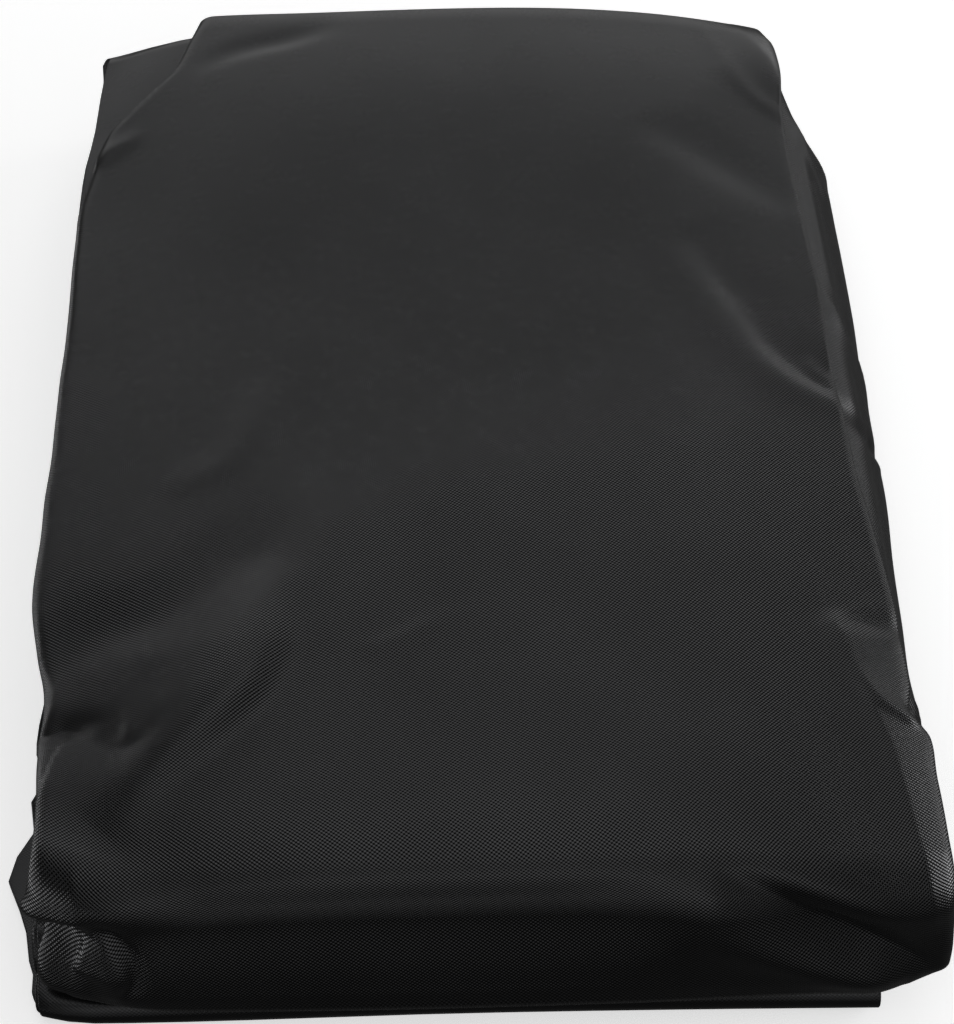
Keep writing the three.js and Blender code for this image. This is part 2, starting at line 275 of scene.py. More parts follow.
def run_edge(run, side, y):
    if run == TOP_RUN:
        return through(TOP_EDGES["y"], TOP_EDGES[side], y)
    edge = through(EDGE_ROWS_Y, RUN_EDGES[run][side], y)
    return edge - tab_reach(y) if run == 1 and side == "left" else edge


def side_edge(cut, side):
    y = middle_y(cut)
    start, end, share = int(cut[FROM_RUN]), int(cut[TO_RUN]), cut[RUN_SHARE]
    if start == ROLL_FROM_RUN and end == TOP_RUN:
        return float(through(ROLL_EDGES["share"], ROLL_EDGES[side], share))
    return float(mix(run_edge(start, side, y), run_edge(end, side, y), share))


def top_height(x, y):
    x, y = np.broadcast_arrays(x, y)
    across = [through(TOP_HEIGHT_X, row, x) for row in TOP_HEIGHT]
    return through(TOP_HEIGHT_Y, np.array(across), y)


def settle(x, y, level):
    """From the squared-up stack to the settled packet: points (x, y, z) in millimetres."""
    x, y, level = np.broadcast_arrays(x, y, level)
    front_hold = 1 - smooth_step(FRONT_Y + BOW_FADE["full"], FRONT_Y + BOW_FADE["none"], y)
    back_hold = smooth_step(BACK_Y - BOW_FADE["none"], BACK_Y - BOW_FADE["full"], y)
    roll_bow = through(ROLL_FRONT_LINE["x"], ROLL_FRONT_LINE["y"], x) - FRONT_Y
    low_bow = through(LOW_FRONT_LINE["x"], LOW_FRONT_LINE["y"], x) - LOW_FRONT_Y
    back_bow = through(BACK_LINE["x"], BACK_LINE["y"], x) - BACK_Y
    end_bow = np.where(level < run_bottom(ROLL_FROM_RUN) - RUN_GAP / 2, low_bow, roll_bow)
    lean_share = smooth_step(ROLL_LEAN_HEIGHTS["from"], ROLL_LEAN_HEIGHTS["to"], level)
    lean = lean_share * through(ROLL_LEAN["x"], ROLL_LEAN["reach"], x)
    settled_y = y + front_hold * (end_bow + lean) + back_hold * back_bow
    settled_z = level / STACK_HEIGHT * top_height(x, settled_y)
    return np.stack([x - BOX_MIDDLE["x"], settled_y - BOX_MIDDLE["y"], settled_z], -1)


# How far the cloth has gone round and along, for the pattern of its weave and for its creases.
def along_path(rows):
    steps = np.linalg.norm(np.diff(rows[:, MINUS_FACE], axis=0), axis=1)
    return np.concatenate([[0.0], np.cumsum(steps)])


def along_from_top(rows):
    """The same distance, but equal to the packet's y where the top run starts."""
    distance = along_path(rows)
    first = int(np.argmax((rows[:, FROM_RUN] == TOP_RUN) & (rows[:, TO_RUN] == TOP_RUN)))
    return distance - distance[first] + rows[first, MINUS_FACE][0]


NOISE_KNOTS = 400


def noise_line(seed, knots):
    """Smooth unevenness along a line: a function of the distance, with knots this far apart."""
    values = np.random.default_rng(seed).uniform(-1, 1, NOISE_KNOTS)

    def at(distance):
        place = np.asarray(distance, float) / knots + NOISE_KNOTS // 2
        low = np.floor(place).astype(int)
        t = smooth_step(0, 1, place - low)
        return mix(values[low % NOISE_KNOTS], values[(low + 1) % NOISE_KNOTS], t)

    return at


# Creases of the top cloth. A crease runs through a few places: across the packet, and along it, which is y
# on top and goes on down the front roll as distance over the cloth. At each place it has a rise, below 0 for
# a trough, and how wide it is on its left and on its right, looking along it.
CREASE_PLACE = slice(0, 2)
CREASE_SIZES = {"rise": 2, "left": 3, "right": 4}
CREASES = {
    "left valley": (
        (-174, -136, -1.4, 14, 12),
        (-150, -121, -2.8, 16, 12),
        (-126, -115, -3.2, 17, 13),
        (-106, -106, -3, 18, 13),
        (-86, -88, -2, 18, 12),
        (-66, -64, 0, 14, 10),
    ),
    "hump": (
        (-80, -92, 0, 12, 22),
        (-83, -116, 3, 13, 26),
        (-86, -137, 5.5, 14, 30),
        (-93, -156, 6.5, 14, 30),
        (-107, -174, 6, 14, 26),
        (-124, -198, 4, 13, 18),
        (-140, -228, 0, 12, 14),
    ),
    "hump foot": (
        (-68, -106, 0, 8, 8),
        (-69, -136, -1.5, 9, 8),
        (-79, -161, -2, 9, 8),
        (-96, -181, -2, 9, 8),
        (-113, -200, -1.5, 9, 8),
        (-130, -222, 0, 8, 8),
    ),
    "pinch": (
        (-176, -172, -4.6, 6.5, 32),
        (-164, -166, -4.6, 6, 34),
        (-158, -164, -4.6, 5.5, 34),
        (-152, -166.5, -3.8, 7, 32),
        (-148, -172, -2.6, 9, 28),
        (-141.5, -178, -2, 10, 24),
        (-136, -181.5, -1.7, 9, 22),
        (-131, -181, -1.5, 8, 20),
        (-126, -176.5, -1.1, 8, 18),
        (-120, -170.5, -0.8, 8, 16),
        (-113, -165, -0.4, 8, 14),
        (-104, -157, 0, 8, 12),
    ),
    "corner pleat": (
        (-180, -270, 3, 9, 2.5),
        (-168, -269.5, 3, 9, 2.5),
        (-161, -268, 2.8, 9, 2.5),
        (-153, -266, 2.2, 8, 2.5),
        (-145, -265.5, 1.2, 7, 2.5),
        (-137, -271, 0, 6, 3),
    ),
    "corner pit": (
        (-180, -277, -4, 3.5, 10),
        (-168, -276.5, -6, 3.5, 11),
        (-161, -275, -7, 3.5, 11),
        (-154, -273.5, -5.5, 3.5, 11),
        (-147, -273, -2.6, 3.5, 10),
        (-140, -278, 0, 3.5, 8),
    ),
    "corner line": (
        (-150, -264, 0, 3.5, 2.6),
        (-141, -267, -1.4, 3.5, 2.6),
        (-135, -274, -2, 3.5, 2.6),
        (-130, -284, -2.2, 3.5, 2.6),
        (-130, -295, -1.6, 3.5, 2.6),
        (-136, -304, 0, 3.5, 2.6),
    ),
    "corner bulge": (
        (-152, -272, 0, 4, 12),
        (-144, -274, 1.6, 4, 13),
        (-139, -281, 2.4, 4, 13),
        (-136, -290, 2.8, 4, 13),
        (-137, -298, 2, 4, 12),
        (-143, -306, 0, 4, 10),
    ),
    "right valley": (
        (104, 94, 0, 18, 9),
        (109, 84, -0.5, 22, 9.5),
        (116, 62, -0.9, 24, 9.5),
        (125, 42, -1.25, 24, 9),
        (134, 23, -1.7, 22, 8),
        (145, 11, -2.3, 18, 7),
        (155, 4, -2.9, 14, 5.5),
        (168, -2, -2.8, 10, 5),
    ),
    "right crest": (
        (102, 82, 0, 4, 12),
        (110, 58, 1, 4, 13),
        (119, 38, 1.5, 7, 15),
        (129, 18, 1.5, 6.5, 15),
        (141, 5, 1.4, 5.5, 12),
        (162, -7, 1, 4, 9),
    ),
    "right rim fold": (
        (148, 18, 0, 3.5, 3.5),
        (154, 9, 1.6, 3.5, 3.5),
        (164, -1, 1.4, 3.5, 3.5),
    ),
    "upper right valley": (
        (88, 166, 0, 14, 9),
        (98, 158, -0.6, 16, 10),
        (114, 146, -1, 20, 10),
        (131, 132, -1.1, 18, 10),
        (148, 118, -0.6, 14, 9),
        (158, 108, 0, 10, 8),
    ),
    "right front crest": (
        (138, -122, 0, 20, 5),
        (142, -131, 2.4, 22, 6),
        (146, -148, 3, 24, 8),
        (151, -167, 3, 24, 9),
        (156, -189, 3, 24, 9),
        (158, -208, 2.8, 22, 9),
        (160, -232, 2.4, 18, 8),
        (163, -256, 1.8, 12, 7),
        (167, -280, 0, 8, 6),
    ),
    "right front side": (
        (184, -124, 0, 10, 12),
        (180, -142, -2.5, 10, 17),
        (180, -168, -3.5, 10, 16),
        (180, -196, -4, 10, 15),
        (180, -226, -4, 10, 14),
        (180, -258, -3, 10, 12),
        (180, -290, 0, 10, 10),
    ),
    "right front fold": (
        (143, -127, 0, 5, 5),
        (154, -126, -1.3, 5, 5),
        (174, -127, -1.6, 5, 5),
    ),
    "right front line": (
        (147, -148, 0, 4, 4),
        (154, -163, 1.4, 4, 4),
        (166, -174, 1.6, 4, 4),
    ),
    "front right valley": (
        (62, -244, 0, 8, 16),
        (78, -246, -3, 8, 18),
        (92, -250, -5, 8, 20),
        (107, -259, -7, 8.5, 22),
        (121, -269, -8.5, 9, 22),
        (137, -279, -8, 9, 18),
        (152, -288, -4.5, 8, 13),
        (163, -298, -1.5, 8, 9),
        (170, -308, 0, 8, 8),
    ),
    "front right crest": (
        (70, -272, 0, 16, 9),
        (96, -284, 2.5, 18, 9),
        (122, -295, 3.5, 18, 9),
        (142, -303, 2.5, 14, 8),
        (156, -310, 0, 10, 8),
    ),
    "low edge": (
        (-164, -308, 0, 4, 1.3),
        (-150, -310, 2, 4, 1.3),
        (-107, -311, 4, 4, 1.3),
        (-40, -311, 5, 4, 1.3),
        (40, -311, 5, 4, 1.3),
        (90, -311, 4, 4, 1.3),
        (130, -311, 3.2, 4, 1.3),
        (156, -311, 3, 4, 1.3),
        (170, -311, 0, 4, 1.3),
    ),
    "far fall": (
        (-150, 290, -5.5, 58, 58),
        (-60, 288, -8.5, 60, 60),
        (60, 288, -8.5, 60, 60),
        (110, 286, -9, 58, 58),
        (150, 280, -10, 46, 46),
        (172, 270, -11, 36, 36),
    ),
    "roll round": (
        (-150, -256, 0, 18, 22),
        (-118, -257, -6, 20, 30),
        (-60, -258, -8.5, 21, 32),
        (20, -258, -8.5, 21, 32),
        (56, -257, -6, 20, 28),
        (80, -256, 0, 18, 20),
    ),
    "front swell": (
        (-74, -200, 0, 24, 22),
        (-30, -205, 0.8, 26, 22),
        (40, -207, 1, 26, 22),
        (90, -205, 0.8, 26, 22),
        (130, -200, 0, 24, 22),
    ),
    "left shoulder": (
        (-178, -254, 4, 16, 12),
        (-158, -254, 5, 16, 12),
        (-138, -255, 4, 16, 12),
        (-120, -256, 1.5, 16, 12),
        (-106, -256, 0, 14, 12),
    ),
    "back left dip": (
        (-50, 249, 0, 7, 8),
        (-75, 236, -1.5, 6, 9),
        (-102, 227, -1.4, 6, 9),
        (-124, 214, 0, 6, 8),
    ),
    "back right crest": (
        (128, 250, 0.3, 4, 4),
        (135, 222, 0.4, 5, 5),
        (141, 205, 0.5, 5, 5),
        (149, 191, 0.5, 5, 5),
        (160, 180, 0.4, 5, 5),
    ),
    "back right facet": (
        (144, 262, 0, 12, 10),
        (151, 246, 1.6, 14, 11),
        (157, 230, 2, 14, 12),
        (161, 212, 1.8, 12, 11),
        (166, 194, 1, 10, 9),
        (172, 184, 0, 8, 8),
    ),
    "left rim flap": (
        (-172, 160, 1.6, 5, 5),
        (-160, 166, 1.6, 5, 5),
        (-143, 175, 0, 5, 5),
    ),
    "middle left dip": (
        (-58, 26, 0, 11, 11),
        (-63, -10, -1.2, 12, 12),
        (-64, -44, -1.2, 12, 12),
        (-60, -76, 0, 11, 11),
    ),
    "middle left rise": (
        (-84, 6, 0, 7, 7),
        (-90, -20, 1, 7, 7),
        (-98, -39, 1.2, 7, 7),
        (-112, -47, 1, 7, 7),
        (-128, -53, 0, 7, 7),
    ),
    "middle fold": (
        (-46, -142, 0, 4, 5),
        (-32, -138, 0.8, 4, 5),
        (-20, -131, 0.8, 4, 5),
        (-6, -122, 0, 4, 5),
    ),
}
# How fast a crease dies out sideways. These are sharper than the rest.
SOFT_CREASE = 2.0
SHARP_CREASES = {
    "pinch": 1.15,
    "corner pleat": 1.3,
    "corner pit": 1.4,
    "right front crest": 1.2,
    "front right valley": 1.6,
    "low edge": 1.0,
    "back right facet": 1.5,
}
ROUTE_POINTS = 30


def smooth_route(places):
    places = np.asarray(places, float)
    steps = np.linalg.norm(np.diff(places[:, CREASE_PLACE], axis=0), axis=1)
    distance = np.concatenate([[0.0], np.cumsum(steps)])
    at = np.linspace(0, distance[-1], ROUTE_POINTS)
    return np.stack([through(distance, column, at) for column in places.T], -1)


def crease_rise(places, across, along, power=SOFT_CREASE):
    """One crease's rise over the cloth, from the nearest point of its route."""
    route = smooth_route(places)
    nearest = np.full(across.shape, np.inf)
    size = np.zeros(across.shape)
    for start, end in zip(route[:-1], route[1:]):
        from_across, from_along = start[CREASE_PLACE]
        step = end[CREASE_PLACE] - start[CREASE_PLACE]
        t = ((across - from_across) * step[0] + (along - from_along) * step[1]) / (step @ step)
        t = np.clip(t, 0, 1)
        dx = across - from_across - t * step[0]
        dy = along - from_along - t * step[1]
        away = np.hypot(dx, dy)
        on_left = step[0] * dy - step[1] * dx > 0
        rise, left, right = (mix(start[k], end[k], t) for k in CREASE_SIZES.values())
        here = rise * np.exp(-((away / np.where(on_left, left, right)) ** power))
        closer = away < nearest
        nearest = np.where(closer, away, nearest)
        size = np.where(closer, here, size)
    return size


def top_rise(across, along):
    across, along = np.broadcast_arrays(across, along)
    return sum(
        crease_rise(places, across, along, SHARP_CREASES.get(name, SOFT_CREASE))
        for name, places in CREASES.items()
    )


# The cloth under the top one sinks towards the back left corner.
UNDER_SINK = (
    (-182, 140, 0, 22, 22),
    (-178, 176, -4, 24, 24),
    (-174, 212, -8, 26, 26),
    (-168, 244, -10, 26, 26),
    (-146, 268, -8, 24, 24),
    (-118, 284, 0, 20, 20),
)


def under_rise(across, along):
    return crease_rise(UNDER_SINK, *np.broadcast_arrays(across, along))


def mesh_object(name, points, faces, uvs, material):
    """A smooth mesh object from points in millimetres, each with its place on the cloth."""
    mesh = bpy.data.meshes.new(name)
    mesh.from_pydata((np.asarray(points) * MILLIMETRE).tolist(), [], faces)
    layer = mesh.uv_layers.new(name="cloth")
    corners = np.empty(len(mesh.loops), dtype=np.int32)
    mesh.loops.foreach_get("vertex_index", corners)
    layer.data.foreach_set("uv", (np.asarray(uvs)[corners] * MILLIMETRE).ravel())
    mesh.polygons.foreach_set("use_smooth", [True] * len(mesh.polygons))
    mesh.validate()
    mesh.update()
    made = bpy.data.objects.new(name, mesh)
    bpy.context.scene.collection.objects.link(made)
    made.data.materials.append(material)
    return made


def grid_faces(rows, columns, first=0, closed=False):
    faces = []
    wide = columns if closed else columns - 1
    for r in range(rows - 1):
        for c in range(wide):
            a = first + r * columns + c
            b = first + r * columns + (c + 1) % columns
            faces.append((a, b, b + columns, a + columns))
    return faces


def grid_normals(outer):
    normal = np.cross(np.gradient(outer, axis=1), np.gradient(outer, axis=0))
    return normal / np.linalg.norm(normal, axis=2, keepdims=True)


def sheet_object(name, outer, uv, thickness, material):
    """A closed thin sheet: the outer face given, an inner face this far behind it, and its four edges."""
    rows, columns = outer.shape[:2]
    inner = outer - grid_normals(outer) * thickness
    points = np.concatenate([outer.reshape(-1, 3), inner.reshape(-1, 3)])
    count = rows * columns
    faces = grid_faces(rows, columns)
    faces += [face[::-1] for face in grid_faces(rows, columns, first=count)]
    rim = list(range(columns))
    rim += [r * columns + columns - 1 for r in range(1, rows)]
    rim += [(rows - 1) * columns + c for c in range(columns - 2, -1, -1)]
    rim += [r * columns for r in range(rows - 2, 0, -1)]
    for a, b in zip(rim, rim[1:] + rim[:1]):
        faces.append((a, a + count, b + count, b))
    return mesh_object(name, points, faces, np.concatenate([uv, uv]), material)


# The top cloth: one ply over the top and round the front roll, with its side edges folded under.
TOP_CLOTH_THICKNESS = 0.8
TOP_CLOTH_RETURN = 34.0
TOP_CLOTH_ARC_STEPS = 8
TOP_CLOTH_RETURN_STEPS = 4
# Its points stand closer where the creases are small: at both sides and towards the front.
TOP_CLOTH_COLUMNS = {"share": (0, 0.16, 0.32, 0.8, 1), "place": (0, 0.07, 0.19, 0.9, 1), "count": 118}
TOP_CLOTH_STRETCHES = (
    {"front": -237.0, "back": -200.0, "step": 1.5},
    {"front": -198.2, "back": -128.0, "step": 1.9},
    {"front": -125.4, "back": 248.0, "step": 3.2},
)
TOP_CLOTH_ROLL_STEPS = {"corner": 18, "wall": 26}
TOP_CLOTH_FOLD_STEPS = 16
# Its ends, tucked in under the roll and under the back fold.
TOP_CLOTH_UNDER_ROLL = {"front": -241.0, "back": -190.0, "step": 9.6}
TOP_CLOTH_UNDER_BACK = {"front": 205.0, "back": 247.0, "step": 9.6}
# Its folded edge: how far in from the edge and how deep it bends, over and under the fold.
TOP_CLOTH_BEND = {"left": (6.0, 3.4), "right": (4.5, 2.4), "under": (2.2, 1.4)}
# Where its side edges lie, at these distances along it. The back left corner is turned in.
TOP_CLOTH_LEFT = (
    (-330, -166), (-302, -168), (-293, -167.5), (-284, -164.5), (-277, -166), (-270, -172.5), (-262, -170),
    (-254, -168.3), (-241, -167), (-211, -168), (-190, -168.5), (-173, -169.5), (-157, -168),
    (-140, -168.5), (-122, -172.5), (-96, -176.5), (-50, -175.3), (0, -174), (60, -173.2), (123, -173.5),
    (150, -169.5), (179, -163), (191, -154.5), (205, -143.5), (219, -133), (243, -125.5), (262, -121),
    (300, -120), (350, -122),
)
TOP_CLOTH_RIGHT = (
    (-330, 162), (-320, 169), (-311, 173.5), (-300, 174.5), (-280, 174), (-238, 173), (-206, 173),
    (-182, 173), (-169, 166.5), (-152, 168.5), (-126, 168.7), (-94, 167.3), (-55, 164), (5, 162),
    (60, 162.5), (95, 161.5), (123, 160.3), (150, 159.6), (180, 160), (200, 162), (236, 163.5), (250, 162.5),
    (264, 157), (300, 158), (350, 160),
)
TOP_CLOTH_EDGES = {
    "left": {"line": TOP_CLOTH_LEFT, "seed": 11},
    "right": {"line": TOP_CLOTH_RIGHT, "seed": 12},
}
TOP_CLOTH_EDGE_WAVE = {"knots": 22, "reach": 0.4}
# The top cloth's own back fold stands this far out past the layers under it.
TOP_CLOTH_BACK_OUT = 9.5


def top_cloth_rows():
    rows = flat_run(ROLL_FROM_RUN, **TOP_CLOTH_UNDER_ROLL)
    rows += front_roll(ROLL_FROM_RUN, TOP_RUN, **TOP_CLOTH_ROLL_STEPS)
    for stretch in TOP_CLOTH_STRETCHES:
        rows += flat_run(TOP_RUN, **stretch)
    rows += small_fold(TOP_RUN, TOP_RUN - 1, BACK_Y + TOP_CLOTH_BACK_OUT, TOP_CLOTH_FOLD_STEPS)
    rows += flat_run(TOP_RUN - 1, **TOP_CLOTH_UNDER_BACK)
    return np.array(rows)


def top_cloth_edge(side, along):
    line = np.array(TOP_CLOTH_EDGES[side]["line"], float)
    wave = noise_line(TOP_CLOTH_EDGES[side]["seed"], TOP_CLOTH_EDGE_WAVE["knots"])
    return through(line[:, 0], line[:, 1], along) + TOP_CLOTH_EDGE_WAVE["reach"] * wave(along)


def folded_edge(over_x, over_deep):
    """From the top surface out to the edge, then back in under it: how far inside the edge, and how deep."""
    under_x, under_deep = TOP_CLOTH_BEND["under"]
    turn = np.linspace(0, math.pi / 2, TOP_CLOTH_ARC_STEPS + 1)[1:]
    out_x = np.concatenate([over_x * (1 - np.sin(turn)), under_x * (1 - np.cos(turn))])
    out_deep = np.concatenate([over_deep * (1 - np.cos(turn)), over_deep + under_deep * np.sin(turn)])
    inward = np.linspace(0, TOP_CLOTH_RETURN, TOP_CLOTH_RETURN_STEPS)[1:]
    out_x = np.concatenate([out_x, under_x + inward])
    out_deep = np.concatenate([out_deep, np.full(len(inward), over_deep + under_deep)])
    return out_x, out_deep


def top_cloth_section(left, right):
    """Places across (x) and depths under the top, from one folded-under edge's end to the other's."""
    columns = TOP_CLOTH_COLUMNS["count"]
    shares = through(TOP_CLOTH_COLUMNS["share"], TOP_CLOTH_COLUMNS["place"], np.linspace(0, 1, columns))
    left_x, left_depth = folded_edge(*TOP_CLOTH_BEND["left"])
    right_x, right_depth = folded_edge(*TOP_CLOTH_BEND["right"])
    flat = mix(left + TOP_CLOTH_BEND["left"][0], right - TOP_CLOTH_BEND["right"][0], shares)
    x = np.concatenate([left + left_x[::-1], flat, right - right_x])
    depth = np.concatenate([left_depth[::-1], np.zeros(columns), right_depth])
    return x, depth


def unrolled(x, depth):
    """How far each point of a section is over the cloth from the packet's middle."""
    steps = np.hypot(np.diff(x, axis=1), np.diff(depth, axis=1))
    distance = np.concatenate([np.zeros((len(x), 1)), np.cumsum(steps, axis=1)], axis=1)
    middle = x.shape[1] // 2
    return distance - distance[:, middle:middle + 1] + x[:, middle:middle + 1]


def top_cloth(material):
    rows = top_cloth_rows()
    along = along_from_top(rows)
    edges = [top_cloth_edge(side, along) for side in ("left", "right")]
    sections = [top_cloth_section(left, right) for left, right in zip(*edges)]
    x = np.array([section[0] for section in sections])
    depth = np.array([section[1] for section in sections])
    y, level = place_in_cloth(rows, depth - top_rise(x, along[:, None]))
    outer = settle(x, y, level)
    uv = np.stack([unrolled(x, depth), np.broadcast_to(along[:, None], x.shape)], -1).reshape(-1, 2)
    return sheet_object("top_cloth", outer, uv, TOP_CLOTH_THICKNESS, material)


# The cloth that hangs from under the top cloth's right edge, down over the side of the plies.
HANGING_FRONT_Y = -196.0
HANGING_BACK_Y = 236.0
HANGING_STEP = 3.4
HANGING_COLUMNS = 34
HANGING_THICKNESS = 0.8
# Its section from the top down: a run, a height in it from 0 to 1, and how far outside that run's edge it is.
HANGING_SECTION = (
    {"run": 8, "height": 0.65, "outside": -17.0},
    {"run": 8, "height": 0.65, "outside": -7.0},
    {"run": 8, "height": 0.6, "outside": -4.0},
    {"run": 8, "height": 0.36, "outside": -2.2},
    {"run": 7, "height": 0.8, "outside": -1.2},
    {"run": 6, "height": 0.5, "outside": 0.0},
    {"run": 5, "height": 0.5, "outside": 0.0},
    {"run": 4, "height": 0.5, "outside": 0.2},
    {"run": 3, "height": 0.5, "outside": 0.6},
    {"run": 3, "height": 0.12, "outside": -1.6},
    {"run": 3, "height": 0.09, "outside": -6.0},
    {"run": 3, "height": 0.09, "outside": -12.0},
)
# Its first rows are held under the top cloth. From there it gets freer to stand out, over this many rows.
HANGING_HELD_ROWS = 3
HANGING_FREER_ROWS = 5
# How far the hanging cloth and the plies behind it stand out or in, from front to back.
HANGING_LINE = {
    "y": (-196, -175, -152, -124, -95, -62, -22, 25, 46, 85, 140, 176, 193, 205, 236),
    "out": (0, 0.5, 1.3, -3, -3.3, -3.5, -1.3, -2.2, -3.2, -1, 0.4, 3, 4.5, -2, -5),
}
HANGING_WAVES = ({"seed": 41, "knots": 46, "reach": 0.5}, {"seed": 42, "knots": 60, "reach": 0.3})
# Its creases: across is the distance down from the packet's top edge, along is y. They start at that edge.
HANGING_CREASES_START = (-4, 2)
HANGING_CREASES = {
    "back fold": ((8, 196, 0, 4, 6), (16, 186, 1.2, 4, 7), (30, 170, 1.6, 4, 8), (46, 158, 0, 5, 8)),
    "upper ridge": ((4, 78, 0, 4, 9), (14, 62, 1.4, 4, 10), (34, 48, 2, 5, 11), (50, 40, 1.2, 6, 10)),
    "middle valley": ((0, 2, -0.5, 6, 7), (16, -2, -2.4, 5, 6), (34, -4, -3, 5, 6), (50, -2, -1.5, 6, 7)),
    "middle line": ((6, -14, 0, 4, 4), (24, -13, 0.8, 4, 4), (44, -9, 1.2, 4, 4)),
    "front ridge": ((0, -150, 1, 6, 7), (20, -158, 1.4, 5, 7), (44, -170, 1, 6, 8)),
    "front notch": ((0, -168, -3, 5, 5), (18, -176, -4, 5, 5), (40, -184, -2, 6, 6)),
}


def hanging_line(y):
    return through(HANGING_LINE["y"], HANGING_LINE["out"], y)


def hanging_sections(y):
    """The section's knots at each y: their places across (x) and their levels."""
    x = np.array([run_edge(row["run"], "right", y) + row["outside"] for row in HANGING_SECTION])
    levels = [mix(run_bottom(row["run"]), run_top(row["run"]), row["height"]) for row in HANGING_SECTION]
    out = hanging_line(y)
    for wave in HANGING_WAVES:
        out = out + wave["reach"] * noise_line(wave["seed"], wave["knots"])(y)
    past_held = np.arange(len(HANGING_SECTION)) - HANGING_HELD_ROWS
    free = np.clip(past_held / HANGING_FREER_ROWS, 0, 1)
    return x + free[:, None] * out, np.array(levels)


def hanging_cloth(material):
    count = round((HANGING_BACK_Y - HANGING_FRONT_Y) / HANGING_STEP)
    y = np.linspace(HANGING_FRONT_Y, HANGING_BACK_Y, count)
    knots_x, knots_level = hanging_sections(y)
    steps = np.hypot(np.diff(knots_x[:, count // 2]), np.diff(knots_level))
    knots = np.concatenate([[0.0], np.cumsum(steps)])
    at = np.linspace(0, knots[-1], HANGING_COLUMNS)
    x = np.array([through(knots, section, at) for section in knots_x.T])
    level = through(knots, knots_level, at)
    down, along = np.broadcast_arrays(at - knots[HANGING_HELD_ROWS], y[:, None])
    outer = settle(x, along, level)
    rise = sum(crease_rise(places, down, along) for places in HANGING_CREASES.values())
    rise = rise * smooth_step(*HANGING_CREASES_START, down)
    outer = outer + grid_normals(outer) * rise[:, :, None]
    uv = np.stack([down, along], -1).reshape(-1, 2)
    return sheet_object("hanging_cloth", outer, uv, HANGING_THICKNESS, material)


# The plies under it: thin folded layers that go the whole way, one inside another.
PLY_COUNT = 5
PLY_GAP = 0.35
PLY_STEP = 13.0
PLY_COLUMNS = 18
PLY_CROWDING = 0.8
PLY_SIDE_STEPS = 6
PLY_ROLL_STEPS = {"corner": 6, "wall": 4}
PLY_FOLD_STEPS = 8
PLY_FLAT = {"front": -234.0, "back": 244.0}
# How far short of the run's free ends the first ply stops, and how much shorter each one after it is.
PLY_TRIM = {"first": 3.0, "more": 4.0}
PLY_WEIGHTS = {"seed": 31, "thin": 0.6, "thick": 1.5}
PLY_EDGE_INSET = 2.4
PLY_EDGE_WAVES = ({"seed": 100, "knots": 34, "reach": 0.9}, {"seed": 200, "knots": 150, "reach": 2.6})
# The bottom run's corner keeps its clean outline where it reaches out by more than this.
PLAIN_TAB_REACH = 3
# Room left at the outer face of each run for the top cloth and the air under it.
PLY_ROOM = {8: 5.6, 7: 1.8, 3: 1.8}
# Room left at the right edge of the plies for the hanging cloth, from this run up, fading in and out over y.
HANGING_ROOM = {"from_run": 3, "wide": 3.0, "front": (-208.0, -184.0), "back": (230.0, 248.0)}


def cloth_path(trim):
    rows = []
    for run, following in zip(RUN_ORDER, (*RUN_ORDER[1:], None)):
        back = min(PLY_FLAT["back"], FREE_END_Y.get(run, math.inf) - trim)
        rows += flat_run(run, PLY_FLAT["front"], back, PLY_STEP)
        if run == ROLL_FROM_RUN:
            rows += front_roll(run, following, **PLY_ROLL_STEPS)
        elif following:
            rows += small_fold(run, following, fold_end_y(run, following), PLY_FOLD_STEPS)
    return np.array(rows)


def ply_bounds(rows):
    """Where each ply starts and ends in the cloth's thickness: uneven, and different in each run."""
    random = np.random.default_rng(PLY_WEIGHTS["seed"])
    weights = random.uniform(PLY_WEIGHTS["thin"], PLY_WEIGHTS["thick"], (TOP_RUN + 1, PLY_COUNT))
    weights /= weights.sum(axis=1, keepdims=True)
    bounds = np.concatenate([np.zeros((TOP_RUN + 1, 1)), np.cumsum(weights, axis=1)], axis=1)
    start, end = (bounds[rows[:, column].astype(int)] for column in (FROM_RUN, TO_RUN))
    return mix(start, end, rows[:, RUN_SHARE, None])


def ply_depths(rows, number):
    """How deep the ply's middle lies under the minus face of the cloth, and half the ply's thickness."""
    start, end = (
        np.array([PLY_ROOM.get(int(run), 0.0) for run in rows[:, column]]) for column in (FROM_RUN, TO_RUN)
    )
    room = mix(start, end, rows[:, RUN_SHARE])
    bounds = room[:, None] + ply_bounds(rows) * (thickness_there(rows) - room)[:, None]
    outer, inner = bounds[:, number], bounds[:, number + 1]
    return (outer + inner) / 2, (inner - outer - PLY_GAP) / 2


def room_for_hanging(rows):
    """How far in the plies' right edge stands where the hanging cloth covers it."""
    y = middle_y(rows)
    covered = smooth_step(*HANGING_ROOM["front"], y) * (1 - smooth_step(*HANGING_ROOM["back"], y))
    low_run = np.minimum(rows[:, FROM_RUN], rows[:, TO_RUN])
    covered = np.where(low_run >= HANGING_ROOM["from_run"], covered, 0.0)
    return covered * (HANGING_ROOM["wide"] + np.maximum(-hanging_line(y), 0))


def ply_edge(rows, distance, number, side):
    solid_edge = np.array([side_edge(row, side) for row in rows])
    seed = 10 * number + (2 if side == "left" else 0)
    waves = sum(
        wave["reach"] * noise_line(wave["seed"] + seed, wave["knots"])(distance) for wave in PLY_EDGE_WAVES
    )
    if side == "right":
        return solid_edge - PLY_EDGE_INSET - room_for_hanging(rows) + waves
    in_tab = (rows[:, FROM_RUN] == 1) & (tab_reach(middle_y(rows)) > PLAIN_TAB_REACH)
    return np.where(in_tab, solid_edge, solid_edge + PLY_EDGE_INSET + waves)


